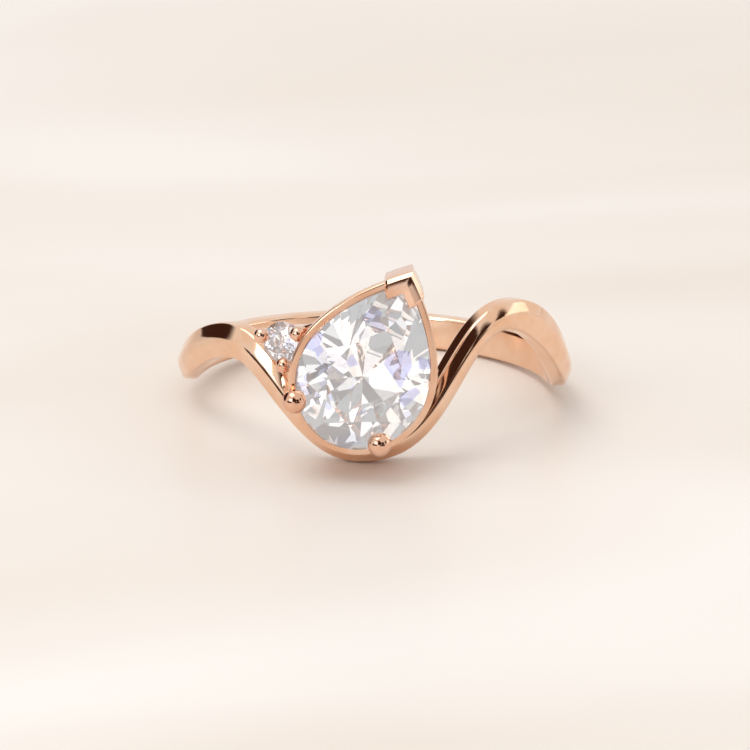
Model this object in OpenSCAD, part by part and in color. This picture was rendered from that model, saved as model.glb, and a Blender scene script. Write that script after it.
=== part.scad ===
// Waved engagement ring with a pear centre stone and a small round accent.
// Origin: middle of the finger hole. +Z runs along the finger, the head faces -Y.
// Angles round the band are measured from the front (-Y), positive towards +X.

/* [Finger hole and band] */
// Radius of the finger hole
finger_r = 8.25; // [7:0.05:11]
// Band thickness, hole to ridge, at the back and sides
band_t = 1.1; // [0.9:0.01:2.5]
// Band thickness, hole to ridge, under the centre stone
front_t = 1.26; // [1:0.01:3]
// Band width at the back and over the shoulders
band_w = 1.64; // [1.2:0.01:4]
// Band width on the slopes beside the centre stone
slope_w = 1.2; // [0.9:0.01:3]
// Height of the band's flat side walls
side_wall = 0.76; // [0.3:0.01:1.5]
// Chamfer on the edge that touches the finger
inner_chamfer = 0.12; // [0.05:0.01:0.3]

/* [Wave of the band] */
// Angle of the left shoulder's crest
left_crest_at = -46; // [-70:1:-30]
// Rise of the left crest
left_crest_rise = 2.75; // [0:0.05:5]
// Angle of the low point under the centre stone
low_at = -8; // [-20:1:10]
// Drop of the low point
low_drop = 1.6; // [0:0.05:4]
// Angle of the right shoulder's crest
right_crest_at = 42; // [30:1:65]
// Rise of the right crest
right_crest_rise = 4.4; // [0:0.05:6]
// Angle each side at which the wave has died away
wave_end_at = 98; // [80:1:130]

/* [Centre stone] */
// Length of the pear stone
pear_l = 8.2; // [5:0.1:12]
// Width of the pear stone
pear_w = 6.0; // [4:0.1:9]
// Length of the pear's round end, from its widest line
pear_round_l = 3.3; // [2:0.1:5]
// Fullness of the pear's sides
pear_fullness = 1.85; // [1.4:0.05:2.2]
// Height of the crown above the girdle
pear_crown_h = 0.88; // [0.4:0.02:1.5]
// Depth of the pavilion below the girdle
pear_pavilion_d = 2.5; // [1.5:0.05:4]
// Thickness of the girdle
girdle_t = 0.14; // [0.08:0.01:0.3]
// Height of the girdle above the finger hole
head_h = 3.35; // [3:0.05:6]
// Sideways place of the stone's widest line
head_x = -0.71; // [-2:0.01:2]
// Height of the stone's widest line
head_z = 2.34; // [0:0.02:4]
// Lean of the stone's point to the right
head_lean = 22.5; // [0:0.5:45]

/* [Head of the centre stone] */
// Reach of the upper rail outside the stone
rail_out = 0.34; // [0.2:0.01:0.8]
// Reach of the upper rail under the stone
rail_in = 0.3; // [0.1:0.01:0.6]
// Height of the upper rail
rail_h = 0.62; // [0.4:0.01:1.2]
// Size of the lower rail against the stone
lower_rail_scale = 0.78; // [0.4:0.01:0.8]
// Thickness of the lower rail's wire
lower_rail_d = 0.62; // [0.4:0.01:1]
// Wall of the point claw outside the stone
tip_wall = 0.5; // [0.3:0.01:0.8]
// Reach of the point claw over the stone
tip_reach = 0.33; // [0.2:0.01:0.8]
// Diameter of the two ball claws
ball_d = 1.12; // [0.7:0.02:1.6]
// Diameter of the ball claws' wires
ball_wire_d = 0.76; // [0.5:0.02:1.1]

/* [Accent] */
// Diameter of the accent stone
accent_d = 1.96; // [1.2:0.02:3]
// Sideways gap from the pear's widest point to the accent's middle
accent_gap = 0.65; // [0.3:0.05:3]
// Height of the accent's middle above the left crest
accent_rise = 0.81; // [0:0.01:2]
// Height of the accent's girdle above the finger hole
accent_h = 2.45; // [1.5:0.05:4]
// Diameter of the accent's claw heads
accent_claw_d = 0.72; // [0.4:0.02:0.9]

/* [Hidden] */
gold = [0.86, 0.6, 0.48];
gem = [0.93, 0.95, 0.98, 0.6];
gap = 0.01;
wave_blend = 8;
joint_at = wave_end_at + wave_blend;
smooth = 3;
edge_soft = 0.06;
ridge_half = 0.17;
ridge_drop = 0.05;
thin_by = 60;
gentle = 1.5;
steep = 2.2;
right_lag = 2;
narrow_middle = 6;
narrow_half = 20;
narrow_fade = 35;
wave_step = 2;
arc_fn = 96;
pear_tip_l = pear_l - pear_round_l;
tip_slope = atan(pear_w / 2 * pear_fullness / pear_tip_l);
stone_n = 48;
rail_n = 96;
head_r = finger_r + head_h;
accent_r = finger_r + accent_h;
accent_z = left_crest_rise + accent_rise;
accent_at = asin((head_x - pear_w / 2 - accent_gap) / accent_r);
collet_stand = 0.77;
collet_d = accent_h - girdle_t - gap - collet_stand * band_t;
accent_claw_r = accent_d / 2 + 0.08;
accent_angles = [164, 33, -80];
bead_rise = 0.28;
head_reach = 46;
lower_rail_shift = 0.17;
lower_rail_depth = 0.78;
lower_rail_y = -lower_rail_shift * pear_tip_l;
lower_rail_z = -girdle_t - lower_rail_depth * pear_pavilion_d;
cradle_from = 18;
cradle_to = 60;
tip_stations = 3;
tip_foot = -girdle_t - 1.2;
ball_rise = 0.42;
left_ball_k = 62;
left_ball_off = 0.12;
left_foot_gap = 0.73;
left_foot_at = asin((head_x - pear_w / 2 - left_foot_gap) / (finger_r + side_wall));
left_foot_side = 0.4;
lower_ball_k = 37;
lower_ball_off = -0.17;
bridge_k = 80;
bridge_r = 0.24;
table_scale = 0.58;
star_scale = 0.82;
star_rise = 0.58;
half_scale = 0.22;
half_depth = 0.8;
accent_crown = 0.15;
accent_pavilion = 0.42;

// ---- band ----

// S-shaped blend from 0 to 1; lag pushes the middle of the rise later
function s_blend(t, n, lag) = pow(t, n) / (pow(t, n) + lag * pow(1 - t, n));

function span(a, a0, z0, a1, z1, n, lag) = z0 + (z1 - z0) * s_blend((a - a0) / (a1 - a0), n, lag);

function wave_raw(a) =
    abs(a) >= wave_end_at ? 0 :
    a < left_crest_at ? span(a, -wave_end_at, 0, left_crest_at, left_crest_rise, gentle, 0.93) :
    a < low_at ? span(a, left_crest_at, left_crest_rise, low_at, -low_drop, gentle, 0.96) :
    a < right_crest_at ? span(a, low_at, -low_drop, right_crest_at, right_crest_rise, steep, right_lag) :
    span(a, right_crest_at, right_crest_rise, wave_end_at, 0, gentle, 0.87);

// Height of the band's middle line at angle a, with the joins of the blends smoothed
function wave_z(a) =
    let (
        near = wave_raw(a - smooth) + wave_raw(a + smooth),
        far = wave_raw(a - 2 * smooth) + wave_raw(a + 2 * smooth))
    (3 * wave_raw(a) + 2 * near + far) / 9;

function wave_slope(a) = atan((wave_z(a + 0.5) - wave_z(a - 0.5)) / ((finger_r + band_t / 2) * PI / 180));

function ease(t) = (1 - cos(180 * min(1, max(0, t)))) / 2;

function width_at(a) =
    slope_w + (band_w - slope_w) * ease((abs(a - narrow_middle) - narrow_half) / narrow_fade);

function thick_at(a) = front_t + (band_t - front_t) * ease(abs(a) / thin_by);

// Section of the band as [radius, offset across the width], from the finger side over the ridge
function band_section(r_in, chamfer, w, t) = [
    [r_in, w / 2 - chamfer],
    [finger_r + inner_chamfer, w / 2],
    [finger_r + side_wall - edge_soft, w / 2],
    [finger_r + side_wall + edge_soft, w / 2 - edge_soft],
    [finger_r + t - ridge_drop, ridge_half],
    [finger_r + t, 0],
    [finger_r + t - ridge_drop, -ridge_half],
    [finger_r + side_wall + edge_soft, -w / 2 + edge_soft],
    [finger_r + side_wall - edge_soft, -w / 2],
    [finger_r + inner_chamfer, -w / 2],
    [r_in, -w / 2 + chamfer]];

// Point of the band at angle a, radius p[0], offset p[1] square to the band's own line
function band_point(a, p) =
    let (
        lean = wave_slope(a),
        at = a - p[1] * sin(lean) / (finger_r + band_t / 2) * 180 / PI)
    [p[0] * sin(at), -p[0] * cos(at), wave_z(a) + p[1] * cos(lean)];

// Closed skin over a row of rings of m points each; loop joins the last ring to the first
function skin_faces(rings, m, loop) = concat(
    [for (i = [0 : rings - (loop ? 1 : 2)], j = [0 : m - 1])
        [i * m + j, ((i + 1) % rings) * m + j, ((i + 1) % rings) * m + (j + 1) % m]],
    [for (i = [0 : rings - (loop ? 1 : 2)], j = [0 : m - 1])
        [i * m + j, ((i + 1) % rings) * m + (j + 1) % m, i * m + (j + 1) % m]],
    loop ? [] : [[for (j = [0 : m - 1]) j]],
    loop ? [] : [[for (j = [m - 1 : -1 : 0]) (rings - 1) * m + j]]);

// The waved band from angle a0 to a1, swept a little into the hole and then bored true
module band_sweep(a0, a1) {
    count = ceil((a1 - a0) / wave_step) + 1;
    sink = 0.05;
    rings = [for (i = [0 : count - 1])
        let (a = a0 + (a1 - a0) * i / (count - 1))
        [for (p = band_section(finger_r - sink, inner_chamfer + sink, width_at(a), thick_at(a)))
            band_point(a, p)]];
    difference() {
        polyhedron([for (ring = rings, p = ring) p], skin_faces(count, len(rings[0]), false));
        cylinder(r = finger_r, h = 4 * finger_r, center = true, $fn = arc_fn);
    }
}

module shank() {
    color(gold)
    rotate([0, 0, joint_at - 90])
    rotate_extrude(angle = 360 - 2 * joint_at, $fn = arc_fn)
    polygon(band_section(finger_r, inner_chamfer, band_w, band_t));
}

module wave_front() {
    color(gold)
    band_sweep(-joint_at, joint_at);
}

// ---- head of the centre stone ----

// Local frame of the head: origin at the stone's widest line on the girdle, +Z out, +Y to the point
module head_frame() {
    translate([head_x, -head_r, head_z])
    rotate([90, 0, 0])
    rotate([0, 0, -head_lean])
    children();
}

// Where a point of the head's frame is on the ring
function head_place(q) = [
    head_x + q[0] * cos(head_lean) + q[1] * sin(head_lean),
    -head_r - q[2],
    head_z - q[0] * sin(head_lean) + q[1] * cos(head_lean)];

// Share of the tip's length at which an outline pushed in by off has its own tip
function tip_start(off) = off < 0 ? pow(1 + 2 * off * cos(tip_slope) / pear_w, 1 / pear_fullness) : 1;

// Point on the pear's right side, u from 1 at the tip to 0 at the widest line, pushed out by off
function side_point(u, off) =
    let (
        dx = pear_w / 2 * pear_fullness * pow(u, pear_fullness - 1) / pear_tip_l,
        len_n = sqrt(1 + dx * dx))
    [pear_w / 2 * (1 - pow(u, pear_fullness)) + off / len_n, pear_tip_l * u + off * dx / len_n];

// Point on the pear's round end, a degrees past the widest line, pushed out by off
function round_point(a, off) =
    let (
        nx = cos(a) * pear_round_l,
        ny = sin(a) * pear_w / 2,
        len_n = sqrt(nx * nx + ny * ny))
    [pear_w / 2 * cos(a) + off * nx / len_n, -pear_round_l * sin(a) - off * ny / len_n];

// Point k of n round the pear, from the tip down its right side, pushed out by off
function pear_point(k, n, off) =
    let (s = k / n)
    s > 0.5 ? let (q = pear_point(n - k, n, off)) [-q[0], q[1]] :
    k == 0 ? [0, off < 0 ? side_point(tip_start(off), off)[1] : pear_tip_l + off / sin(tip_slope)] :
    s < 0.25 ? side_point(tip_start(off) * (1 - 4 * s), off) :
    round_point((s - 0.25) * 360, off);

// Skin of a [reach, height] section carried round the pear from station k0 to k1
module pear_sweep(section, k0, k1, loop) {
    count = loop ? rail_n : k1 - k0 + 1;
    points = [for (i = [0 : count - 1], p = section)
        let (q = pear_point((k0 + i + rail_n) % rail_n, rail_n, p[0]))
        [q[0], q[1], p[1]]];
    polyhedron(points, skin_faces(count, len(section), loop));
}

// Brilliant-cut stone over an outline of n points, n a multiple of 16
module brilliant(outline, crown, pavilion) {
    n = len(outline);
    seg = n / 8;
    top = 0;
    star = 8;
    girdle = 16;
    lower = 16 + n;
    half = 16 + 2 * n;
    tip = 24 + 2 * n;
    points = concat(
        [for (i = [0 : 7]) let (q = outline[i * seg]) [q[0] * table_scale, q[1] * table_scale, crown]],
        [for (i = [0 : 7]) let (q = outline[i * seg + seg / 2])
            [q[0] * star_scale, q[1] * star_scale, crown * star_rise]],
        [for (q = outline) [q[0], q[1], 0]],
        [for (q = outline) [q[0], q[1], -girdle_t]],
        [for (i = [0 : 7]) let (q = outline[i * seg + seg / 2])
            [q[0] * half_scale, q[1] * half_scale, -girdle_t - pavilion * half_depth]],
        [[0, 0, -girdle_t - pavilion]]);
    faces = concat(
        [[for (i = [0 : 7]) top + i]],
        [for (i = [0 : 7]) [top + (i + 1) % 8, top + i, star + i]],
        [for (i = [0 : 7]) [top + i, girdle + i * seg, star + i]],
        [for (i = [0 : 7]) [top + i, star + (i + 7) % 8, girdle + i * seg]],
        [for (i = [0 : 7], j = [0 : seg - 1])
            [star + i, girdle + i * seg + j, girdle + (i * seg + j + 1) % n]],
        [for (k = [0 : n - 1]) [girdle + k, lower + k, lower + (k + 1) % n]],
        [for (k = [0 : n - 1]) [girdle + k, lower + (k + 1) % n, girdle + (k + 1) % n]],
        [for (i = [0 : 7], j = [0 : seg - 1])
            [lower + i * seg + j, half + i, lower + (i * seg + j + 1) % n]],
        [for (i = [0 : 7]) [lower + i * seg, tip, half + i]],
        [for (i = [0 : 7]) [lower + i * seg, half + (i + 7) % 8, tip]]);
    polyhedron(points, faces);
}

// The pear stone, grown by extra so that the metal can be cut back to clear it
module pear_stone(extra) {
    outline = [for (k = [0 : stone_n - 1]) pear_point(k, stone_n, extra)];
    translate([0, 0, extra])
    brilliant(outline, pear_crown_h, pear_pavilion_d + 2 * extra);
}

module centre_stone() {
    color(gem)
    head_frame()
    pear_stone(0);
}

// Upper rail: a seat under the girdle, bevelled to the pavilion; its two ends meet the point claw
module upper_rail_solid() {
    seat = -girdle_t - gap;
    seat_drop = 0.27;
    under_inner = 0.1;
    under_outer = 0.14;
    top_outer = 0.1;
    section = [
        [-rail_in, seat - seat_drop],
        [-rail_in, seat - rail_h + under_inner],
        [-rail_in + under_inner, seat - rail_h],
        [rail_out - under_outer, seat - rail_h],
        [rail_out, seat - rail_h + under_outer],
        [rail_out, seat - top_outer],
        [rail_out - top_outer, seat],
        [gap, seat]];
    pear_sweep(section, tip_stations, rail_n - tip_stations, false);
}

module centre_upper_rail() {
    color(gold)
    head_frame()
    upper_rail_solid();
}

// Lower rail: a wire loop near the finger, round the stone's culet
module lower_rail_solid() {
    r = lower_rail_d / 2;
    loop = [for (i = [0 : rail_n / 2 - 1], j = [0 : 7])
        let (q = pear_point(2 * i, rail_n, r / lower_rail_scale * cos(j * 45 + 22.5)))
        [q[0] * lower_rail_scale, q[1] * lower_rail_scale + lower_rail_y,
            lower_rail_z + r * sin(j * 45 + 22.5)]];
    polyhedron(loop, skin_faces(rail_n / 2, 8, true));
}

module centre_lower_rail() {
    color(gold)
    difference() {
        head_frame()
        lower_rail_solid();
        band_sweep(-head_reach, head_reach);
    }
}

// Cradle wall: stands on the band and carries the upper rail round the stone's round end
module cradle_solid() {
    top = -girdle_t - gap - rail_h;
    sink = 0.5;
    foot = -head_h + front_t - sink;
    section = [[-rail_in + 0.12, top], [-0.05, foot + 0.3], [sink, foot], [rail_out - 0.14, top]];
    pear_sweep(section, cradle_from, cradle_to, false);
}

module cradle_wall() {
    color(gold)
    difference() {
        head_frame()
        difference() {
            cradle_solid();
            lower_rail_solid();
        }
        band_sweep(-head_reach, head_reach);
    }
}

// Plate of the point claw: a wall outside the stone's point, folded over the crown
module tip_claw_solid() {
    top = pear_crown_h * 0.6;
    lip_under = pear_crown_h * 0.35;
    clear = 0.03;
    bevel = 0.16;
    section = [
        [-tip_reach, top - 0.14],
        [-tip_reach, lip_under],
        [clear, clear],
        [clear, tip_foot],
        [tip_wall, tip_foot],
        [tip_wall, top - 0.1 - bevel],
        [tip_wall - bevel, top - 0.06],
        [0, top]];
    pear_sweep(section, -tip_stations, tip_stations, false);
}

module tip_v_claw() {
    strut_r = 0.2;
    wall_end = [0, pear_tip_l + tip_wall / 2, tip_foot + 1.5 * strut_r];
    rail_end = [0, pear_tip_l * lower_rail_scale + lower_rail_y + 0.4 * lower_rail_d, lower_rail_z];
    color(gold)
    head_frame() {
        tip_claw_solid();
        rod(wall_end, rail_end, strut_r, strut_r, 12);
    }
}

// Round wire from p to q, drawn with the given number of sides
module rod(p, q, r0, r1, sides = 32) {
    d = q - p;
    translate(p)
    rotate([0, acos(d[2] / norm(d)), atan2(d[1], d[0])])
    cylinder(r1 = r0, r2 = r1, h = norm(d), $fn = sides);
}

// Claw with a ball head: a wire from the band up past the rail, cut to seat on the crown
module ball_claw(foot, head) {
    difference() {
        union() {
            rod(foot, head, ball_wire_d / 2, ball_wire_d / 2);
            translate(head)
            sphere(d = ball_d, $fn = 32);
        }
        head_frame() {
            pear_stone(gap);
            upper_rail_solid();
            cradle_solid();
            lower_rail_solid();
        }
        band_sweep(-head_reach, head_reach);
    }
}

// Place beside the pear at station k, reach off outside its edge and height z over its girdle
function pear_place(k, off, z) =
    let (q = pear_point(k, rail_n, off))
    head_place([q[0], q[1], z]);

// The left claw's wire runs from the band's upper edge past the collet
module left_ball_claw() {
    color(gold)
    ball_claw(
        band_point(left_foot_at, [finger_r + side_wall, left_foot_side * band_w]),
        pear_place(left_ball_k, left_ball_off, ball_rise));
}

// The lower claw's wire is a short post on the upper rail
module lower_ball_claw() {
    color(gold)
    ball_claw(
        pear_place(lower_ball_k, rail_out - ball_wire_d / 2 + 0.06, -girdle_t - rail_h / 2),
        pear_place(lower_ball_k, lower_ball_off, ball_rise));
}

// ---- accent ----

// Local frame of the accent: origin in the middle of its girdle, +Z out from the finger
module accent_frame() {
    rotate([0, 0, accent_at])
    translate([0, -accent_r, accent_z])
    rotate([90, 0, 0])
    children();
}

// Where a point of the accent's frame is on the ring
function accent_place(q) =
    let (x = q[0], y = -accent_r - q[2])
    [x * cos(accent_at) - y * sin(accent_at), x * sin(accent_at) + y * cos(accent_at), accent_z + q[1]];

module accent_stone_solid(extra) {
    outline = [for (k = [0 : stone_n - 1])
        let (a = 90 - k * 360 / stone_n)
        [(accent_d / 2 + extra) * cos(a), (accent_d / 2 + extra) * sin(a)]];
    translate([0, 0, extra])
    brilliant(outline, accent_d * accent_crown, accent_d * accent_pavilion + 2 * extra);
}

module accent_stone() {
    color(gem)
    accent_frame()
    accent_stone_solid(0);
}

// Collet: a three-cornered tapered cup with a conical seat, open at the back
module collet_solid() {
    top = -girdle_t - gap;
    seat_r = accent_d / 2 - 0.02;
    seat_d = accent_d * accent_pavilion;
    foot_corner = 0.16;
    rim_corner = 0.34;
    back_r = 0.34;
    over = 0.001;
    difference() {
        hull()
        for (a = accent_angles)
            rotate([0, 0, a])
            translate([accent_claw_r - 0.2, 0, top - collet_d])
            cylinder(r1 = foot_corner, r2 = rim_corner, h = collet_d, $fn = 24);
        translate([0, 0, top - seat_d])
        cylinder(r1 = 0.1, r2 = seat_r, h = seat_d + over, $fn = 48);
        translate([0, 0, top - 2 * collet_d])
        cylinder(r = back_r, h = 2 * collet_d, $fn = 32);
    }
}

module accent_collet() {
    color(gold)
    difference() {
        accent_frame()
        collet_solid();
        band_sweep(accent_at - head_reach, 0);
        head_frame()
        upper_rail_solid();
    }
}

// One of the accent's claws: a short wire with a round head that seats on the crown
module accent_claw(angle) {
    foot = [accent_claw_r, 0, -girdle_t - gap];
    head = [accent_claw_r - 0.06, 0, bead_rise];
    color(gold)
    difference() {
        accent_frame()
        difference() {
            rotate([0, 0, angle]) {
                rod(foot, head, 0.26, 0.28);
                translate(head)
                sphere(d = accent_claw_d, $fn = 24);
            }
            accent_stone_solid(gap);
            collet_solid();
        }
        head_frame() {
            pear_stone(gap);
            upper_rail_solid();
        }
    }
}

module accent_left_claw() {
    accent_claw(accent_angles[0]);
}

module accent_right_claw() {
    accent_claw(accent_angles[1]);
}

module accent_lower_claw() {
    accent_claw(accent_angles[2]);
}

// Short wire that ties the accent's collet to the upper rail
module accent_bridge() {
    reach = 0.9 * accent_claw_r;
    way = accent_angles[1];
    start = accent_place([reach * cos(way), reach * sin(way), -0.5 * collet_d]);
    end = pear_place(bridge_k, 0, -girdle_t - 0.6 * rail_h);
    color(gold)
    difference() {
        rod(start, end, bridge_r, bridge_r);
        accent_frame() {
            collet_solid();
            accent_stone_solid(gap);
        }
        head_frame()
        upper_rail_solid();
    }
}

shank();
wave_front();
cradle_wall();
centre_lower_rail();
centre_upper_rail();
tip_v_claw();
left_ball_claw();
lower_ball_claw();
centre_stone();
accent_collet();
accent_left_claw();
accent_right_claw();
accent_lower_claw();
accent_bridge();
accent_stone();
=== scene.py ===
import math
import bmesh
import bpy
from mathutils import Matrix, Vector


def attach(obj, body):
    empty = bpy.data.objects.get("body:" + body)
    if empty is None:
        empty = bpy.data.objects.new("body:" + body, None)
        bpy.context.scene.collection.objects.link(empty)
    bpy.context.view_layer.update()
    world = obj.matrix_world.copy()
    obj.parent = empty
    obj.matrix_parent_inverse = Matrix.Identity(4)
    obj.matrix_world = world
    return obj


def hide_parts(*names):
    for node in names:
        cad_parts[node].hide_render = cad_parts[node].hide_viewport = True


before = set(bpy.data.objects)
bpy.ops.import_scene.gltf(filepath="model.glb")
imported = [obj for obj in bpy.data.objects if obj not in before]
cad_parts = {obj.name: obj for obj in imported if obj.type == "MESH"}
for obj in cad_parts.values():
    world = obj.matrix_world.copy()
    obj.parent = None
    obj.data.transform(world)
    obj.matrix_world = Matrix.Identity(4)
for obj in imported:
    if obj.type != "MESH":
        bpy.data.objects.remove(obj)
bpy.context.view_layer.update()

# ---- Band ----
# The band is cast in rose gold, filed to a soft ridge, and rises in a wave on both shoulders.
# It is one ring to the eye: the plain back and the waved front are finished together on the wheel.

MM = 0.001
FINGER_R = 8.25
BAND_DEPTH, FRONT_DEPTH, THIN_BY = 1.1, 1.26, 60
BAND_WIDTH, SLOPE_WIDTH = 1.64, 1.2
SIDE_WALL, INNER_CHAMFER = 0.76, 0.12
LEFT_CREST, LOW, RIGHT_CREST, WAVE_END = (-46, 2.75), (-8, -1.6), (42, 4.4), 98
NARROW_MIDDLE, NARROW_HALF, NARROW_FADE = 6, 20, 35


def s_blend(share, power, lag):
    """A rise from 0 to 1 in the shape of an S; lag moves its middle later."""
    return share**power / (share**power + lag * (1 - share) ** power)


def rise_between(angle, start, end, power, lag):
    share = (angle - start[0]) / (end[0] - start[0])
    return start[1] + (end[1] - start[1]) * s_blend(share, power, lag)


def raw_wave(angle):
    if abs(angle) >= WAVE_END:
        return 0.0
    if angle < LEFT_CREST[0]:
        return rise_between(angle, (-WAVE_END, 0), LEFT_CREST, 1.5, 0.93)
    if angle < LOW[0]:
        return rise_between(angle, LEFT_CREST, LOW, 1.5, 0.96)
    if angle < RIGHT_CREST[0]:
        return rise_between(angle, LOW, RIGHT_CREST, 2.2, 2)
    return rise_between(angle, RIGHT_CREST, (WAVE_END, 0), 1.5, 0.87)


def wave_height(angle):
    """Height of the band's middle line at an angle from the front, in degrees."""
    return sum(w * raw_wave(angle + d) for d, w in ((-6, 1), (-3, 2), (0, 3), (3, 2), (6, 1))) / 9


def wave_lean(angle):
    step = (FINGER_R + BAND_DEPTH / 2) * math.radians(1)
    return math.atan((wave_height(angle + 0.5) - wave_height(angle - 0.5)) / step)


def ease(share):
    return (1 - math.cos(math.pi * min(1, max(0, share)))) / 2


def band_axes(angle):
    """The band's hole line at an angle, the way out from the finger, and the way across its width."""
    turn, lean = math.radians(angle), wave_lean(angle)
    out = Vector((math.sin(turn), -math.cos(turn), 0))
    along = Vector((math.cos(turn), math.sin(turn), 0))
    across = Vector((0, 0, math.cos(lean))) - along * math.sin(lean)
    return out * FINGER_R + Vector((0, 0, wave_height(angle))), out, across


def rounded(corners, steps=5):
    """A closed outline with each corner (x, y, radius) turned into a small arc."""
    points = []
    for i, (x, y, radius) in enumerate(corners):
        here = Vector((x, y))
        before = Vector(corners[i - 1][:2]) - here
        after = Vector(corners[(i + 1) % len(corners)][:2]) - here
        if radius == 0:
            points.append(here)
            continue
        reach = min(radius, before.length * 0.49, after.length * 0.49)
        start, end = here + before.normalized() * reach, here + after.normalized() * reach
        for k in range(steps + 1):
            t = k / steps
            points.append(start * (1 - t) ** 2 + here * 2 * t * (1 - t) + end * t**2)
    return points


def add_node(tree, kind, inputs=(), **settings):
    """Adds a node, sets what it says, and links or fills its inputs, given as (input, value) pairs."""
    made = tree.nodes.new(kind)
    for name, value in settings.items():
        setattr(made, name, value)
    for socket, value in inputs:
        if isinstance(value, bpy.types.NodeSocket):
            tree.links.new(value, made.inputs[socket])
        else:
            made.inputs[socket].default_value = value
    return made


def sweep_tree():
    """Geometry nodes that carry a section along a path: one ring of the skin for each path point."""
    tree = bpy.data.node_groups.new("sweep a section along a path", "GeometryNodeTree")
    face = tree.interface
    face.new_socket("Path", in_out="INPUT", socket_type="NodeSocketGeometry")
    face.new_socket("Section", in_out="INPUT", socket_type="NodeSocketObject")
    face.new_socket("Weld distance", in_out="INPUT", socket_type="NodeSocketFloat")
    face.new_socket("Metal", in_out="INPUT", socket_type="NodeSocketMaterial")
    face.new_socket("Skin", in_out="OUTPUT", socket_type="NodeSocketGeometry")
    given = add_node(tree, "NodeGroupInput").outputs
    section = add_node(tree, "GeometryNodeObjectInfo", [("Object", given["Section"])])
    section = section.outputs["Geometry"]
    rings = add_node(tree, "GeometryNodeAttributeDomainSize", [("Geometry", given["Path"])])
    around = add_node(tree, "GeometryNodeAttributeDomainSize", [("Geometry", section)])
    grid = add_node(tree, "GeometryNodeMeshGrid", [
        ("Vertices X", rings.outputs["Point Count"]), ("Vertices Y", around.outputs["Point Count"])])
    count = around.outputs["Point Count"]
    index = add_node(tree, "GeometryNodeInputIndex").outputs[0]
    middle = add_node(tree, "ShaderNodeMath", [(0, index), (1, 0.5)], operation="ADD").outputs[0]
    share = add_node(tree, "ShaderNodeMath", [(0, middle), (1, count)], operation="DIVIDE").outputs[0]
    ring = add_node(tree, "ShaderNodeMath", [(0, share)], operation="FLOOR").outputs[0]
    passed = add_node(tree, "ShaderNodeMath", [(0, ring), (1, count)], operation="MULTIPLY").outputs[0]
    spot = add_node(tree, "ShaderNodeMath", [(0, index), (1, passed)], operation="SUBTRACT").outputs[0]
    position = add_node(tree, "GeometryNodeInputPosition").outputs[0]
    on_ring = []
    for name in ("", "out", "across"):
        field = position
        if name:
            field = add_node(tree, "GeometryNodeInputNamedAttribute", [("Name", name)],
                data_type="FLOAT_VECTOR").outputs["Attribute"]
        on_ring.append(add_node(tree, "GeometryNodeSampleIndex", [
            ("Geometry", given["Path"]), ("Value", field), ("Index", ring)],
            data_type="FLOAT_VECTOR", domain="POINT").outputs["Value"])
    profile = add_node(tree, "GeometryNodeSampleIndex", [
        ("Geometry", section), ("Value", position), ("Index", spot)],
        data_type="FLOAT_VECTOR", domain="POINT").outputs["Value"]
    split = add_node(tree, "ShaderNodeSeparateXYZ", [(0, profile)]).outputs
    outward = add_node(tree, "ShaderNodeVectorMath", [(0, on_ring[1]), ("Scale", split["X"])],
        operation="SCALE").outputs[0]
    sideways = add_node(tree, "ShaderNodeVectorMath", [(0, on_ring[2]), ("Scale", split["Y"])],
        operation="SCALE").outputs[0]
    place = add_node(tree, "ShaderNodeVectorMath", [(0, on_ring[0]), (1, outward)],
        operation="ADD").outputs[0]
    place = add_node(tree, "ShaderNodeVectorMath", [(0, place), (1, sideways)],
        operation="ADD").outputs[0]
    skin = add_node(tree, "GeometryNodeSetPosition", [
        ("Geometry", grid.outputs["Mesh"]), ("Position", place)]).outputs[0]
    skin = add_node(tree, "GeometryNodeMergeByDistance", [
        ("Geometry", skin), ("Distance", given["Weld distance"])]).outputs[0]
    skin = add_node(tree, "GeometryNodeRealizeInstances", [("Geometry", skin)]).outputs[0]
    skin = add_node(tree, "GeometryNodeSetMaterial", [
        ("Geometry", skin), ("Material", given["Metal"])]).outputs[0]
    add_node(tree, "NodeGroupOutput", [(0, skin)])
    return tree


SWEEP = sweep_tree()


def line_mesh(name, points):
    mesh = bpy.data.meshes.new(name)
    mesh.from_pydata([tuple(p) for p in points], [(i, i + 1) for i in range(len(points) - 1)], [])
    return mesh


def finish_skin(mesh, smooth_angle=35):
    """Turns a closed skin's faces outwards and shades it smooth but for its sharp edges."""
    work = bmesh.new()
    work.from_mesh(mesh)
    bmesh.ops.remove_doubles(work, verts=work.verts, dist=1e-8)
    bmesh.ops.dissolve_degenerate(work, edges=work.edges, dist=1e-8)
    bmesh.ops.recalc_face_normals(work, faces=work.faces)
    for face in work.faces:
        face.smooth = True
    for edge in work.edges:
        edge.smooth = edge.calc_face_angle(0) < math.radians(smooth_angle)
    work.to_mesh(mesh)
    work.free()


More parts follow.
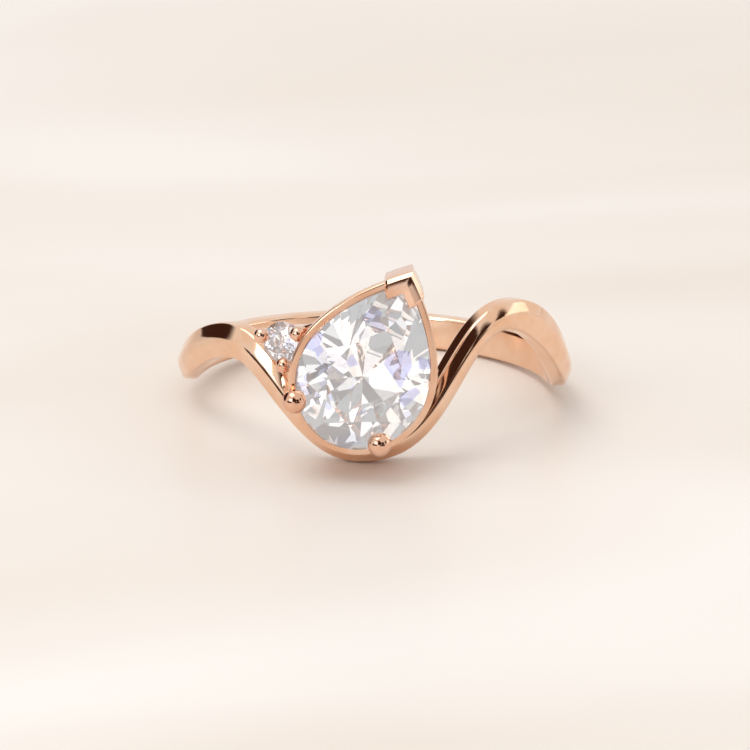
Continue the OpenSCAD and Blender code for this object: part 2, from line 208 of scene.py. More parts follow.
def swept(name, path, section, metal, smooth_angle=35):
    """A piece whose skin is a section in mm carried along a path of (place, out, across) in mm."""
    mesh = line_mesh(name + "_path", [place * MM for place, _, _ in path])
    for k, label in ((1, "out"), (2, "across")):
        held = mesh.attributes.new(label, "FLOAT_VECTOR", "POINT")
        held.data.foreach_set("vector", [c for step in path for c in step[k] * MM])
    carrier = bpy.data.objects.new(name + "_path", mesh)
    ring = list(section) + [section[0]]
    outline = bpy.data.objects.new(name + "_section", line_mesh(
        name + "_section", [(p[0], p[1], 0) for p in ring]))
    for helper in (carrier, outline):
        bpy.context.scene.collection.objects.link(helper)
    modifier = carrier.modifiers.new("sweep", "NODES")
    modifier.node_group = SWEEP
    sockets = {s.name: s.identifier for s in SWEEP.interface.items_tree if s.in_out == "INPUT"}
    modifier[sockets["Section"]] = outline
    modifier[sockets["Weld distance"]] = 2e-7
    modifier[sockets["Metal"]] = metal
    graph = bpy.context.evaluated_depsgraph_get()
    made = bpy.data.meshes.new_from_object(carrier.evaluated_get(graph))
    made.name = name
    for helper in (carrier, outline):
        bpy.data.objects.remove(helper)
    finish_skin(made, smooth_angle)
    piece = bpy.data.objects.new(name, made)
    bpy.context.scene.collection.objects.link(piece)
    return piece


def capped(path, steps=((0, 0.0), (0, 0.7), (0.06, 0.93), (0.14, 1.0))):
    """The path with its ends drawn in to a point, each step an (advance in mm, section's size) pair."""
    first, last = path[0], path[-1]
    ahead = (path[1][0] - first[0]).normalized()
    back = (path[-2][0] - last[0]).normalized()
    start = [(first[0] + ahead * a, first[1] * s, first[2] * s) for a, s in steps]
    end = [(last[0] + back * a, last[1] * s, last[2] * s) for a, s in reversed(steps)]
    clear = steps[-1][0] * 1.2
    inner = [p for p in path[1:-1] if min((p[0] - first[0]).length, (p[0] - last[0]).length) > clear]
    return start + inner + end


def linear(code):
    """An sRGB hex colour as the linear colour that the nodes take."""
    parts = [int(code[i : i + 2], 16) / 255 for i in (0, 2, 4)]
    return tuple(c / 12.92 if c <= 0.04045 else ((c + 0.055) / 1.055) ** 2.4 for c in parts) + (1,)


def rose_gold(name, tone, worn_tone, dull, mark_mm, depth_mm):
    """Polished rose gold: tone varies a little, and fine wheel marks of mark_mm break up the gloss."""
    metal = bpy.data.materials.new(name)
    metal.use_nodes = True
    tree = metal.node_tree
    shader = tree.nodes["Principled BSDF"]
    shader.inputs["Metallic"].default_value = 1.0
    where = add_node(tree, "ShaderNodeTexCoord").outputs["Object"]
    cloud = add_node(tree, "ShaderNodeTexNoise", [
        ("Vector", where), ("Scale", 1 / (1.6 * MM)), ("Detail", 3), ("Roughness", 0.55)]).outputs["Fac"]
    tint = add_node(tree, "ShaderNodeValToRGB", [("Fac", cloud)])
    tint.color_ramp.elements[0].position, tint.color_ramp.elements[1].position = 0.35, 0.65
    tint.color_ramp.elements[0].color, tint.color_ramp.elements[1].color = linear(tone), linear(worn_tone)
    tree.links.new(tint.outputs["Color"], shader.inputs["Base Color"])
    turned = add_node(tree, "ShaderNodeMapping", [("Vector", where), ("Scale", (1, 1, 3.5))]).outputs[0]
    marks = add_node(tree, "ShaderNodeTexNoise", [
        ("Vector", turned), ("Scale", 1 / (mark_mm * MM)), ("Detail", 4), ("Roughness", 0.6)]).outputs["Fac"]
    gloss = add_node(tree, "ShaderNodeMapRange", [
        ("Value", marks), ("From Min", 0.3), ("From Max", 0.7),
        ("To Min", dull * 0.65), ("To Max", dull * 1.4)])
    tree.links.new(gloss.outputs["Result"], shader.inputs["Roughness"])
    bump = add_node(tree, "ShaderNodeBump", [
        ("Height", marks), ("Strength", 0.12), ("Distance", depth_mm * MM)])
    tree.links.new(bump.outputs["Normal"], shader.inputs["Normal"])
    return metal


# 18 ct rose gold, cast and then polished on a cloth wheel: mirror-bright, with faint wheel marks.
# The marks are 0.02 mm apart on a real ring and are drawn ten times coarser so that they show.
BAND_GOLD = rose_gold("polished cast rose gold", "F1C3A1", "F6D4BA", 0.08, 0.22, 0.006)

# Offsets from the finger hole, widths across, and the radius of each filed edge, in mm. The corner at
# the ridge stands a little proud, because filing it round takes it down to the band's depth.
HALF_WIDTH, RIDGE = BAND_WIDTH / 2, BAND_DEPTH + 0.02
upper_half = [
    (0.0, HALF_WIDTH - INNER_CHAMFER, 0.1), (INNER_CHAMFER, HALF_WIDTH, 0.1), (SIDE_WALL, HALF_WIDTH, 0.16)]
lower_half = [(x, -y, radius) for x, y, radius in reversed(upper_half)]
BAND_SECTION = rounded(upper_half + [(RIDGE, 0.0, 0.34)] + lower_half, 6)
BAND_STATIONS = 480

band_path = []
for i in range(BAND_STATIONS + 1):
    angle = -180 + 360 * i / BAND_STATIONS
    place, out, across = band_axes(angle)
    wide = ease((abs(angle - NARROW_MIDDLE) - NARROW_HALF) / NARROW_FADE)
    depth = FRONT_DEPTH + (BAND_DEPTH - FRONT_DEPTH) * ease(abs(angle) / THIN_BY)
    width = SLOPE_WIDTH + (BAND_WIDTH - SLOPE_WIDTH) * wide
    band_path.append((place, out * depth / BAND_DEPTH, across * width / BAND_WIDTH))

band = swept("polished_band", band_path, BAND_SECTION, BAND_GOLD)
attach(band, "root")
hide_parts("shank", "wave_front")


# ---- Basket of the centre stone ----
# Two rails of rose gold follow the pear's outline: a seat under the girdle and a lower wire near the finger.
# They are cast with the head and polished; a wall under the round end joins the seat to the band.

PEAR_LENGTH, PEAR_WIDTH, ROUND_LENGTH, FULLNESS = 8.2, 6.0, 3.3, 1.85
POINT_LENGTH = PEAR_LENGTH - ROUND_LENGTH
POINT_SLOPE = math.atan(PEAR_WIDTH / 2 * FULLNESS / POINT_LENGTH)
CROWN, PAVILION, GIRDLE = 0.88, 2.5, 0.14
HEAD_RISE = 3.35
HEAD_R, HEAD_X, HEAD_Z, HEAD_LEAN = FINGER_R + HEAD_RISE, -0.71, 2.34, math.radians(22.5)
RAIL_OUT, RAIL_IN, RAIL_HEIGHT, SEAT = 0.34, 0.3, 0.62, -GIRDLE - 0.01


def head_place(x, y, z):
    """A point of the stone's own frame, with +Y to its point and +Z out, as a place on the ring in mm."""
    c, s = math.cos(HEAD_LEAN), math.sin(HEAD_LEAN)
    return Vector((HEAD_X + x * c + y * s, -HEAD_R - z, HEAD_Z - x * s + y * c))


def pear_point(turn, reach=0.0):
    """A point reach mm outside the pear's outline; turn is 0 at the tip and 0.5 at the round end."""
    turn %= 1
    if turn > 0.5:
        mirrored = pear_point(1 - turn, reach)
        return Vector((-mirrored.x, mirrored.y))
    inset = (1 + 2 * reach * math.cos(POINT_SLOPE) / PEAR_WIDTH) ** (1 / FULLNESS) if reach < 0 else 1
    if turn == 0 and reach >= 0:
        return Vector((0, POINT_LENGTH + reach / math.sin(POINT_SLOPE)))
    if turn < 0.25:
        u = inset * (1 - 4 * turn)
        slope = PEAR_WIDTH / 2 * FULLNESS * u ** (FULLNESS - 1) / POINT_LENGTH
        size = math.hypot(1, slope)
        x = PEAR_WIDTH / 2 * (1 - u**FULLNESS) + reach / size
        return Vector((0 if turn == 0 else x, POINT_LENGTH * u + reach * slope / size))
    a = (turn - 0.25) * 2 * math.pi
    nx, ny = math.cos(a) * ROUND_LENGTH, math.sin(a) * PEAR_WIDTH / 2
    size = math.hypot(nx, ny)
    x, y = PEAR_WIDTH / 2 * math.cos(a), -ROUND_LENGTH * math.sin(a)
    return Vector((x + reach * nx / size, y - reach * ny / size))


def pear_path(start, end, steps, inner, outer, scale=1.0, shift=0.0):
    """Stations round the pear between two turns, with the way out taken from an inner and an outer offset."""
    path = []
    for i in range(steps + 1):
        turn = start + (end - start) * i / steps
        near, far = pear_point(turn, inner / scale) * scale, pear_point(turn, outer / scale) * scale
        out = (far - near) / (outer - inner)
        base = near - out * inner
        place = head_place(base.x, base.y + shift, 0)
        outer_place = head_place(base.x + out.x, base.y + shift + out.y, 0)
        path.append((place, outer_place - place, Vector((0, -1, 0))))
    return path


HEAD_GOLD = rose_gold("polished rose gold rail", "EDBB9B", "F4CEB4", 0.08, 0.16, 0.005)

SEAT_DROP, RAIL_FOOT = 0.27, SEAT - RAIL_HEIGHT
seat_section = rounded([
    (-RAIL_IN, SEAT - SEAT_DROP, 0.03), (-RAIL_IN, RAIL_FOOT, 0.12), (RAIL_OUT, RAIL_FOOT, 0.18),
    (RAIL_OUT, SEAT, 0.12), (0.02, SEAT, 0.04)], 4)
seat_rail = swept("pear_seat_rail", pear_path(0, 1, 288, -RAIL_IN, RAIL_OUT), seat_section, HEAD_GOLD)

WIRE_R = 0.31
LOWER_SCALE, LOWER_SHIFT, LOWER_Z = 0.78, -0.17 * POINT_LENGTH, -GIRDLE - 0.78 * PAVILION
ROUND_SECTION = [(math.cos(math.tau * k / 20), math.sin(math.tau * k / 20)) for k in range(20)]
wire_section = [(WIRE_R * x, WIRE_R * y + LOWER_Z) for x, y in ROUND_SECTION]
lower_path = pear_path(0, 1, 192, -WIRE_R, WIRE_R, LOWER_SCALE, LOWER_SHIFT)
lower_rail = swept("pear_lower_rail", lower_path, wire_section, HEAD_GOLD)

PEAR_STATIONS = 96
CRADLE_TURNS = (18 / PEAR_STATIONS, 60 / PEAR_STATIONS)
CRADLE_SINK = 0.5
cradle_foot = -HEAD_RISE + FRONT_DEPTH - CRADLE_SINK
cradle_top = RAIL_FOOT + 0.03
cradle_section = rounded([
    (-RAIL_IN + 0.12, cradle_top, 0), (-0.05, cradle_foot + 0.3, 0.2), (CRADLE_SINK, cradle_foot, 0.1),
    (RAIL_OUT - 0.08, cradle_top, 0)], 5)
cradle_path = capped(pear_path(*CRADLE_TURNS, 150, -RAIL_IN, CRADLE_SINK))
cradle = swept("cradle_under_the_pear", cradle_path, cradle_section, HEAD_GOLD)

for piece, node in (
        (seat_rail, "centre_upper_rail"), (lower_rail, "centre_lower_rail"), (cradle, "cradle_wall")):
    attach(piece, "root")
    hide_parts(node)


# ---- V claw over the pear's point ----
# A bent plate of rose gold guards the fragile point: two walls outside the stone, folded over the crown.
# It is filed to crisp edges, with a thin strut of wire that ties it to the lower rail.

CLAW_GOLD = rose_gold("filed and polished rose gold claw", "E9B799", "F2CBB3", 0.07, 0.12, 0.004)
CLAW_HALF = 3 / PEAR_STATIONS
CLAW_REACH, CLAW_WALL = 0.33, 0.5
CLAW_TOP, CLAW_FOOT = 0.6 * CROWN, -GIRDLE - 1.2

CLAW_CLEAR, CLAW_BEVEL = 0.02, 0.16
claw_section = rounded([
    (-CLAW_REACH, CLAW_TOP - 0.14, 0.05), (-CLAW_REACH, 0.35 * CROWN, 0.03),
    (CLAW_CLEAR, CLAW_CLEAR, 0.05), (CLAW_CLEAR, CLAW_FOOT, 0.05),
    (CLAW_WALL, CLAW_FOOT, 0.1), (CLAW_WALL, CLAW_TOP - 0.1 - CLAW_BEVEL, 0.03),
    (CLAW_WALL - CLAW_BEVEL, CLAW_TOP - 0.06, 0.03), (0.0, CLAW_TOP, 0.03)], 3)
claw_path = capped(pear_path(-CLAW_HALF, CLAW_HALF, 64, -CLAW_REACH, CLAW_WALL))
claw = swept("pear_v_claw", claw_path, claw_section, CLAW_GOLD, 25)


def across_pair(direction):
    """Two unit ways square to a direction and to each other."""
    side = direction.orthogonal().normalized()
    return side, direction.cross(side).normalized()


def turned_rod(name, start, end, profile, metal):
    """A round piece along a line in mm, its profile given as (distance from the start, radius) pairs."""
    ahead = (end - start).normalized()
    out, across = across_pair(ahead)
    return swept(name, [(start + ahead * d, out * r, across * r) for d, r in profile], ROUND_SECTION, metal)


STRUT_R = 0.2
strut_start = head_place(0, POINT_LENGTH + CLAW_WALL / 2, CLAW_FOOT + 1.5 * STRUT_R)
strut_end = head_place(0, POINT_LENGTH * LOWER_SCALE + LOWER_SHIFT, LOWER_Z)
strut_length = (strut_end - strut_start).length
strut = turned_rod(
    "pear_point_strut", strut_start, strut_end,
    [(0, 0), (0, STRUT_R), (strut_length, STRUT_R), (strut_length, 0)], CLAW_GOLD)

for piece in (claw, strut):
    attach(piece, "root")
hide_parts("tip_v_claw")


# ---- Pear stone ----
# A colourless pear brilliant: flat facets ground and polished on a wheel, meeting at sharp edges.
# It drops into the seat rail from above; the V claw and two balls then hold it.


def ground_off(faces, spot, way):
    """A convex blank's flat faces, each a list of points, with all beyond a plane ground away."""
    kept, rim = [], []
    for face in faces:
        left = []
        for a, b in zip(face, face[1:] + face[:1]):
            above_a, above_b = (a - spot).dot(way), (b - spot).dot(way)
            if above_a <= 1e-7:
                left.append(a)
            if (above_a > 1e-7) != (above_b > 1e-7):
                cut = a + (b - a) * (above_a / (above_a - above_b))
                left.append(cut)
                rim.append(cut)
        if len(left) > 2:
            kept.append(left)
    middle = sum(rim, Vector()) / max(len(rim), 1)
    side, other = across_pair(way)
    rim.sort(key=lambda p: math.atan2((p - middle).dot(other), (p - middle).dot(side)))
    rim = [p for k, p in enumerate(rim) if (p - rim[k - 1]).length > 1e-5]
    return kept + [rim] if len(rim) > 2 else kept


def cut_stone(name, outline, crown, pavilion, girdle, place, stone_material, table=0.58, star=0.82,
              star_rise=0.58, half=0.22, half_depth=0.8):
    """A brilliant with flat facets: a straight-sided blank ground by one plane for each facet."""
    count = len(outline)
    seg = count // 8
    top = [Vector((p.x, p.y, crown * 1.5)) for p in outline]
    low = [Vector((p.x, p.y, -girdle - pavilion * 1.5)) for p in outline]
    faces = [[top[i], low[i], low[(i + 1) % count], top[(i + 1) % count]] for i in range(count)] + [top, low]

    def grind(a, b, c, up):
        nonlocal faces
        way = (b - a).cross(c - a).normalized()
        faces = ground_off(faces, a, way if way.z * up > 0 else -way)

    def at(p, share, z):
        return Vector((p.x * share, p.y * share, z))

    grind(Vector((0, 0, crown)), Vector((1, 0, crown)), Vector((0, 1, crown)), 1)
    deepest = Vector((0, 0, -girdle - pavilion))
    for i in range(8):
        main, nearby = outline[i * seg], outline[(i * seg + seg) % count]
        middle, before = outline[i * seg + seg // 2], outline[i * seg - seg // 2]
        along = outline[(i * seg + 1) % count] - outline[i * seg - 1]
        grind(at(main, 1, 0), at(main, 1, 0) + Vector((along.x, along.y, 0)), at(main, table, crown), 1)
        star_point = at(middle, star, crown * star_rise)
        grind(at(main, table, crown), at(nearby, table, crown), star_point, 1)
        half_point = at(middle, half, -girdle - pavilion * half_depth)
        grind(deepest, half_point, at(before, half, -girdle - pavilion * half_depth), -1)
        for end, quarter in ((main, outline[i * seg + seg // 4]), (nearby, outline[i * seg + 3 * seg // 4])):
            grind(star_point, at(end, 1, 0), at(quarter, 1, 0), 1)
            grind(half_point, Vector((end.x, end.y, -girdle)), Vector((quarter.x, quarter.y, -girdle)), -1)
    work = bmesh.new()
    for face in faces:
        work.faces.new([work.verts.new(place(*p) * MM) for p in face])
    bmesh.ops.remove_doubles(work, verts=work.verts, dist=2e-8)
    bmesh.ops.dissolve_degenerate(work, edges=work.edges, dist=2e-8)
    bmesh.ops.recalc_face_normals(work, faces=work.faces)
    mesh = bpy.data.meshes.new(name)
    work.to_mesh(mesh)
    work.free()
    mesh.materials.append(stone_material)
    stone = bpy.data.objects.new(name, mesh)
    bpy.context.scene.collection.objects.link(stone)
    return stone


def cut_gem(name, clear, painted_fire_tone, cell_mm, dull):
    """A clear cut stone: facets break the light, and a few faint cells of fire colour painted into its base
    stand in for its fire.
    """
    gem = bpy.data.materials.new(name)
    gem.use_nodes = True
    tree = gem.node_tree
    shader = tree.nodes["Principled BSDF"]
    shader.inputs["Transmission Weight"].default_value = 1.0
    shader.inputs["IOR"].default_value = 2.2
    # A real stone sends back light after many more bounces than are followed; a faint glow stands for it.
    shader.inputs["Emission Color"].default_value = linear(clear)
    shader.inputs["Emission Strength"].default_value = 0.08
    where = add_node(tree, "ShaderNodeTexCoord").outputs["Object"]
    cells = add_node(tree, "ShaderNodeTexVoronoi", [("Vector", where), ("Scale", 1 / (cell_mm * MM))])
    value = add_node(tree, "ShaderNodeSeparateColor", [("Color", cells.outputs["Color"])]).outputs[0]
    # Painted fire: the brightest cells take a blue-violet tint in the base colour, standing in for light that
    # the facets split into colours.
    fire = add_node(tree, "ShaderNodeValToRGB", [("Fac", value)])
    fire.color_ramp.elements[0].position, fire.color_ramp.elements[1].position = 0.84, 0.93
    fire.color_ramp.elements[0].color, fire.color_ramp.elements[1].color = linear(clear), linear(painted_fire_tone)
    tree.links.new(fire.outputs["Color"], shader.inputs["Base Color"])
    haze = add_node(tree, "ShaderNodeTexNoise", [("Vector", where), ("Scale", 1 / (0.4 * MM)), ("Detail", 2)])
    gloss = add_node(tree, "ShaderNodeMapRange", [
        ("Value", haze.outputs["Fac"]), ("From Min", 0.4), ("From Max", 0.7),
        ("To Min", 0.0), ("To Max", dull)])
    tree.links.new(gloss.outputs["Result"], shader.inputs["Roughness"])
    return gem


# Colourless diamond, cut and polished: clear, hard-edged facets with a little blue-violet fire painted into
# its colour.
PEAR_GEM = cut_gem("cut and polished diamond", "FCFCFD", "A9ADEE", 1.0, 0.02)
PEAR_POINTS = 128

pear_outline = [pear_point(k / PEAR_POINTS) for k in range(PEAR_POINTS)]
pear_stone = cut_stone("pear_brilliant", pear_outline, CROWN, PAVILION, GIRDLE, head_place, PEAR_GEM)
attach(pear_stone, "root")
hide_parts("centre_stone")


# ---- Ball claws of the centre stone ----
# Round wires of rose gold stand at the pear's left edge and at its round end.
# Each is burred to a ball that is pressed down on the crown's edge.

BALL_R, CLAW_WIRE_R, BALL_RISE = 0.56, 0.38, 0.42
LEFT_TURN, LOWER_TURN = 62 / PEAR_STATIONS, 37 / PEAR_STATIONS


def ball_ended(length, wire_r, ball_r, foot_r):
    """Profile of a wire that runs from its foot to a ball centred at length."""
    neck = math.sqrt(max(ball_r**2 - (wire_r * 1.04) ** 2, 0))
    profile = [(0, 0), (0, foot_r * 0.9), (0.05, foot_r)]
    profile += [(length * t, foot_r + (wire_r - foot_r) * ease(t * 1.6)) for t in (0.2, 0.35, 0.5, 0.65)
                if length * t < length - neck - 0.1]
    profile.append((length - neck - 0.03, wire_r))
    start = math.acos(-neck / ball_r)
    for k in range(1, 17):
        a = start * (1 - k / 16)
        profile.append((length + ball_r * math.cos(a), ball_r * math.sin(a) if k < 16 else 0.0))
    return profile


def seated(piece, stone):
    """Cuts the metal back where it meets a stone, as a setter's burr does."""
    burr = piece.modifiers.new("burr", "BOOLEAN")
    burr.operation, burr.solver, burr.object = "DIFFERENCE", "EXACT", stone
    graph = bpy.context.evaluated_depsgraph_get()
    cut = bpy.data.meshes.new_from_object(piece.evaluated_get(graph))
    piece.modifiers.clear()
    piece.data = cut
    cut.materials.clear()
    cut.materials.append(CLAW_GOLD)
    cut.polygons.foreach_set("material_index", [0] * len(cut.polygons))
    finish_skin(cut)


def pear_station(turn, reach, height):
    spot = pear_point(turn, reach)
    return head_place(spot.x, spot.y, height)


LEFT_FOOT_GAP = 0.73
LEFT_FOOT_AT = math.degrees(math.asin((HEAD_X - PEAR_WIDTH / 2 - LEFT_FOOT_GAP) / (FINGER_R + SIDE_WALL)))
foot_place, foot_out, foot_across = band_axes(LEFT_FOOT_AT)
left_foot = foot_place + foot_out * SIDE_WALL + foot_across * 0.4 * BAND_WIDTH
left_head = pear_station(LEFT_TURN, 0.12, BALL_RISE)
lower_foot = pear_station(LOWER_TURN, RAIL_OUT - CLAW_WIRE_R + 0.06, -GIRDLE - RAIL_HEIGHT / 2)
lower_head = pear_station(LOWER_TURN, -0.17, BALL_RISE)

for name, node, foot, head in (
        ("left_ball_on_wire", "left_ball_claw", left_foot, left_head),
        ("lower_ball_on_post", "lower_ball_claw", lower_foot, lower_head)):
    profile = ball_ended((head - foot).length, CLAW_WIRE_R, BALL_R, CLAW_WIRE_R)
    ball = turned_rod(name, foot, head, profile, CLAW_GOLD)
    seated(ball, pear_stone)
    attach(ball, "root")
    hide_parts(node)


# ---- Accent ----
# A small round brilliant sits in a three-cornered tapered cup on the left shoulder, held by three bead claws.
# Cup, claws and the little bridge to the pear's rail are rose gold, soldered together and polished.

ACCENT_D, ACCENT_GAP, ACCENT_Z, ACCENT_H = 1.96, 0.65, 3.56, 2.45
ACCENT_CROWN, ACCENT_PAVILION = 0.15, 0.42
ACCENT_R = FINGER_R + ACCENT_H
ACCENT_AT = math.asin((HEAD_X - PEAR_WIDTH / 2 - ACCENT_GAP) / ACCENT_R)
CUP_STAND = 0.77
CUP_DEPTH = ACCENT_H + SEAT - CUP_STAND * BAND_DEPTH
ACCENT_CLAW_R = ACCENT_D / 2 + 0.08
CLAW_ANGLES = [math.radians(a) for a in (164, 33, -80)]
BEAD_R, BEAD_RISE, BEAD_WIRE_R = 0.36, 0.28, 0.27


def accent_place(x, y, z):
    """A point of the accent's own frame, with +Z out from the finger, as a place on the ring in mm."""
    c, s = math.cos(ACCENT_AT), math.sin(ACCENT_AT)
    back = -ACCENT_R - z
    return Vector((x * c - back * s, x * s + back * c, ACCENT_Z + y))


def cup_reach(turn, corner, middle):
    """Reach of a three-cornered outline: corner circles of that radius at a distance of middle, hulled."""
    way = Vector((math.cos(turn), math.sin(turn)))
    spots = [Vector((math.cos(a), math.sin(a))) * middle for a in CLAW_ANGLES]
    best = 0.0
    for spot in spots:
        along = spot.dot(way)
        off = (spot - way * along).length
        if off < corner:
            best = max(best, along + math.sqrt(corner**2 - off**2))
    for i in range(3):
        a, b = spots[i], spots[(i + 1) % 3]
        edge = (b - a).normalized()
        normal = Vector((edge.y, -edge.x))
        if normal.dot(a) < 0:
            normal = -normal
        facing = way.dot(normal)
        if facing > 1e-6:
            hit = way * ((a.dot(normal) + corner) / facing)
            if 0 <= (hit - a).dot(edge) <= (b - a).length:
                best = max(best, hit.length)
    return best


def cup_mesh():
    """The cup as closed rings: up the outside, over the rim, down the seat and the hole to the foot."""
    around = 120
    turns = [math.tau * k / around for k in range(around)]
    top = SEAT
    seat_low = top - ACCENT_D * ACCENT_PAVILION
    seat_r = ACCENT_D / 2 - 0.02
    middle = ACCENT_CLAW_R - 0.2
    rings = []
    foot_corner, flare, near_rim = 0.16, 0.18, 0.97
    shares = [0.02] + [k / 10 for k in range(1, 10)]
    outside = [(foot_corner - 0.05, 0.0)]
    outside += [(foot_corner + flare * share, share) for share in shares]
    outside += [(foot_corner + flare * near_rim - 0.03, near_rim), (foot_corner + flare - 0.07, 1.0)]
    for corner, share in outside:
        height = top - CUP_DEPTH * (1 - share)
        rings.append([cup_reach(a, corner, middle) for a in turns] + [height])
    hole = 0.34
    for radius, height in ((seat_r, top - 0.005), (seat_r - 0.03, top - 0.04), (0.55, seat_low + 0.42),
                           (hole, seat_low + 0.2), (hole, top - CUP_DEPTH)):
        rings.append([radius] * around + [height])
    mesh = bpy.data.meshes.new("accent_cup")
    points = [accent_place(ring[k] * math.cos(a), ring[k] * math.sin(a), ring[-1]) * MM
              for ring in rings for k, a in enumerate(turns)]
    count = len(rings)
    faces = [(i * around + k, i * around + (k + 1) % around,
              ((i + 1) % count) * around + (k + 1) % around, ((i + 1) % count) * around + k)
             for i in range(count) for k in range(around)]
    mesh.from_pydata([tuple(p) for p in points], [], faces)
    mesh.materials.append(CLAW_GOLD)
    finish_skin(mesh, 40)
    return mesh


cup = bpy.data.objects.new("accent_cup", cup_mesh())
bpy.context.scene.collection.objects.link(cup)
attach(cup, "root")
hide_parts("accent_collet")

for label, turn in zip(("left", "right", "lower"), CLAW_ANGLES):
    foot = accent_place(ACCENT_CLAW_R * math.cos(turn), ACCENT_CLAW_R * math.sin(turn), SEAT - 0.15)
    inner = ACCENT_CLAW_R - 0.06
    head = accent_place(inner * math.cos(turn), inner * math.sin(turn), BEAD_RISE)
    profile = ball_ended((head - foot).length, BEAD_WIRE_R, BEAD_R, BEAD_WIRE_R - 0.02)
    bead = turned_rod(f"accent_{label}_bead", foot, head, profile, CLAW_GOLD)
    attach(bead, "root")
    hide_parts(f"accent_{label}_claw")

bridge_way = Vector((math.cos(CLAW_ANGLES[1]), math.sin(CLAW_ANGLES[1]))) * 0.9 * ACCENT_CLAW_R
bridge_start = accent_place(bridge_way.x, bridge_way.y, -0.5 * CUP_DEPTH)
bridge_end = pear_station(80 / PEAR_STATIONS, 0, -GIRDLE - 0.6 * RAIL_HEIGHT)
bridge_length = (bridge_end - bridge_start).length
BRIDGE_END_R, BRIDGE_WAIST_R, BRIDGE_FLARE = 0.26, 0.22, 0.05
bridge_profile = [(0, 0), (0, BRIDGE_END_R)]
for share in (0.1, 0.3, 0.5, 0.7, 0.9):
    bridge_profile.append((bridge_length * share, BRIDGE_WAIST_R + BRIDGE_FLARE * (2 * share - 1) ** 2))
bridge_profile += [(bridge_length, BRIDGE_END_R), (bridge_length, 0)]
bridge = turned_rod("accent_to_pear_bridge", bridge_start, bridge_end, bridge_profile, CLAW_GOLD)
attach(bridge, "root")
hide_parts("accent_bridge")

# Small colourless diamond, with a little pale blue-violet fire painted into its colour.
ACCENT_GEM = cut_gem("cut and polished small diamond", "FBFBFD", "CDD3F4", 0.5, 0.02)
ACCENT_POINTS = 64
accent_turns = [math.tau * (k + 0.3) / ACCENT_POINTS for k in range(ACCENT_POINTS)]
accent_outline = [Vector((math.cos(a), math.sin(a))) * ACCENT_D / 2 for a in accent_turns]
accent_stone = cut_stone(
    "accent_brilliant", accent_outline, ACCENT_D * ACCENT_CROWN, ACCENT_D * ACCENT_PAVILION, GIRDLE * 0.6,
    accent_place, ACCENT_GEM)
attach(accent_stone, "root")
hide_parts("accent_stone")


# ---- Table, light and camera ----
# The ring lies on its side on a pale polished stone slab, resting on the low point of its wave and its back.

FLOOR_RISE_Y, FLOOR_RISE_X = 0.075, 0.024
lowest = min(v.co.z - FLOOR_RISE_Y * v.co.y - FLOOR_RISE_X * v.co.x for v in band.data.vertices) - 0.02 * MM
SLAB = 600 * MM

slab_mesh = bpy.data.meshes.new("slab")
corners = ((-SLAB, -SLAB), (SLAB, -SLAB), (SLAB, SLAB), (-SLAB, SLAB))
slab_mesh.from_pydata(
    [(x, y, lowest + FLOOR_RISE_Y * y + FLOOR_RISE_X * x) for x, y in corners], [], [(0, 1, 2, 3)])
slab = bpy.data.objects.new("slab", slab_mesh)
bpy.context.scene.collection.objects.link(slab)

# Pale honed marble: soft cream clouds about 40 mm across and a faint sheen.
marble = bpy.data.materials.new("honed cream marble")
marble.use_nodes = True
tree = marble.node_tree
shader = tree.nodes["Principled BSDF"]
where = add_node(tree, "ShaderNodeTexCoord").outputs["Object"]
stretched = add_node(tree, "ShaderNodeMapping", [("Vector", where), ("Scale", (0.6, 1.0, 1.0))]).outputs[0]
cloud = add_node(tree, "ShaderNodeTexNoise", [
    ("Vector", stretched), ("Scale", 1 / (38 * MM)), ("Detail", 1.5), ("Distortion", 1.2)]).outputs["Fac"]
tint = add_node(tree, "ShaderNodeValToRGB", [("Fac", cloud)])
tint.color_ramp.elements[0].position, tint.color_ramp.elements[1].position = 0.35, 0.68
tint.color_ramp.elements[0].color, tint.color_ramp.elements[1].color = linear("EFE6DD"), linear("FAF6F2")
tree.links.new(tint.outputs["Color"], shader.inputs["Base Color"])
shader.inputs["Roughness"].default_value = 0.4
shader.inputs["Specular IOR Level"].default_value = 0.3
slab_mesh.materials.append(marble)

# Soft studio light: a panel overhead, one at the front left, a window at the right, and a pale room.
# Dark things in the room that the polish mirrors: the way to each, and its reach and soft edge in degrees.
ROOM_DARKS = [((0.0, -0.92, 0.42), 15, 20), ((0.5, -0.78, 0.36), 10, 16), ((-0.8, 0.56, 0.18), 24, 36),
              ((-0.14, -0.74, 0.65), 7, 13), ((0.84, -0.34, 0.43), 7, 14)]
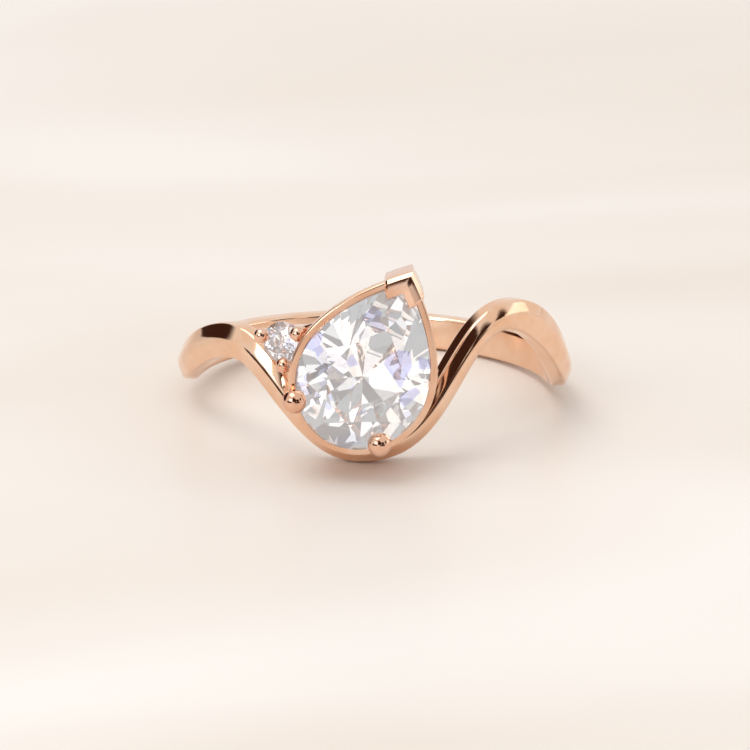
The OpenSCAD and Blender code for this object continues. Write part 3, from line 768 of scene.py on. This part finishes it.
# A low row of them stands just over the table's edge, on both sides of the front, angles in radians.
LOW_ROW = (-1.15, -1.0, -0.8, -0.6, 0.2, 0.4, 0.6, 0.8)
ROOM_DARKS += [((math.sin(a), -math.cos(a), 0.07), 5, 9) for a in LOW_ROW]
world = bpy.data.worlds.new("pale studio")
bpy.context.scene.world = world
world.use_nodes = True
tree = world.node_tree
sky = tree.nodes["Background"]
heading = add_node(tree, "ShaderNodeTexCoord").outputs["Generated"]
shade = None
for way, start, end in ROOM_DARKS:
    facing = add_node(tree, "ShaderNodeVectorMath", [(0, heading), (1, Vector(way).normalized())],
        operation="DOT_PRODUCT").outputs["Value"]
    dark = add_node(tree, "ShaderNodeMapRange", [
        ("Value", facing), ("From Min", math.cos(math.radians(end))),
        ("From Max", math.cos(math.radians(start)))], interpolation_type="SMOOTHSTEP").outputs["Result"]
    shade = dark if shade is None else add_node(tree, "ShaderNodeMath", [(0, shade), (1, dark)],
        operation="MAXIMUM").outputs[0]
room = add_node(tree, "ShaderNodeMix", [("Factor", shade)], data_type="RGBA")
room.inputs["A"].default_value, room.inputs["B"].default_value = linear("FDFBF9"), linear("40281F")
tree.links.new(room.outputs["Result"], sky.inputs["Color"])
sky.inputs["Strength"].default_value = 0.92


def panel(name, place_mm, size_mm, power, tone):
    """A soft panel light that faces the ring."""
    light = bpy.data.lights.new(name, "AREA")
    light.shape = "RECTANGLE"
    light.size, light.size_y = size_mm[0] * MM, size_mm[1] * MM
    light.energy = power
    light.color = linear(tone)[:3]
    held = bpy.data.objects.new(name, light)
    bpy.context.scene.collection.objects.link(held)
    spot = Vector(place_mm) * MM
    held.matrix_world = Matrix.Translation(spot) @ (-spot).to_track_quat("-Z", "Y").to_matrix().to_4x4()


panel("overhead panel", (-120, -40, 330), (240, 180), 0.3, "FFF9F3")
panel("front left panel", (-190, -235, 135), (110, 90), 0.16, "FFFDFA")
panel("right window", (300, 20, 110), (220, 90), 0.04, "FFF8F0")

CAMERA_MM, CAMERA_AZ, CAMERA_EL, CAMERA_ROLL = 280, math.radians(-1), math.radians(13.7), math.radians(1.4)
PX_PER_MM = 21.16
camera = bpy.data.objects.new("camera", bpy.data.cameras.new("camera"))
bpy.context.scene.collection.objects.link(camera)
toward = Vector((math.sin(CAMERA_AZ) * math.cos(CAMERA_EL), -math.cos(CAMERA_AZ) * math.cos(CAMERA_EL),
                 math.sin(CAMERA_EL)))
aim = (-toward).to_track_quat("-Z", "Y").to_matrix().to_4x4()
camera.matrix_world = Matrix.Translation(toward * CAMERA_MM * MM) @ aim @ Matrix.Rotation(CAMERA_ROLL, 4, "Z")
camera.data.sensor_width = 36
camera.data.lens = 36 * CAMERA_MM * PX_PER_MM / 750
camera.data.shift_x, camera.data.shift_y = 0.5 / 750, -5.3 / 750
camera.data.clip_start, camera.data.clip_end = 0.01, 5
bpy.context.scene.camera = camera
bpy.context.scene.view_settings.view_transform = "Standard"
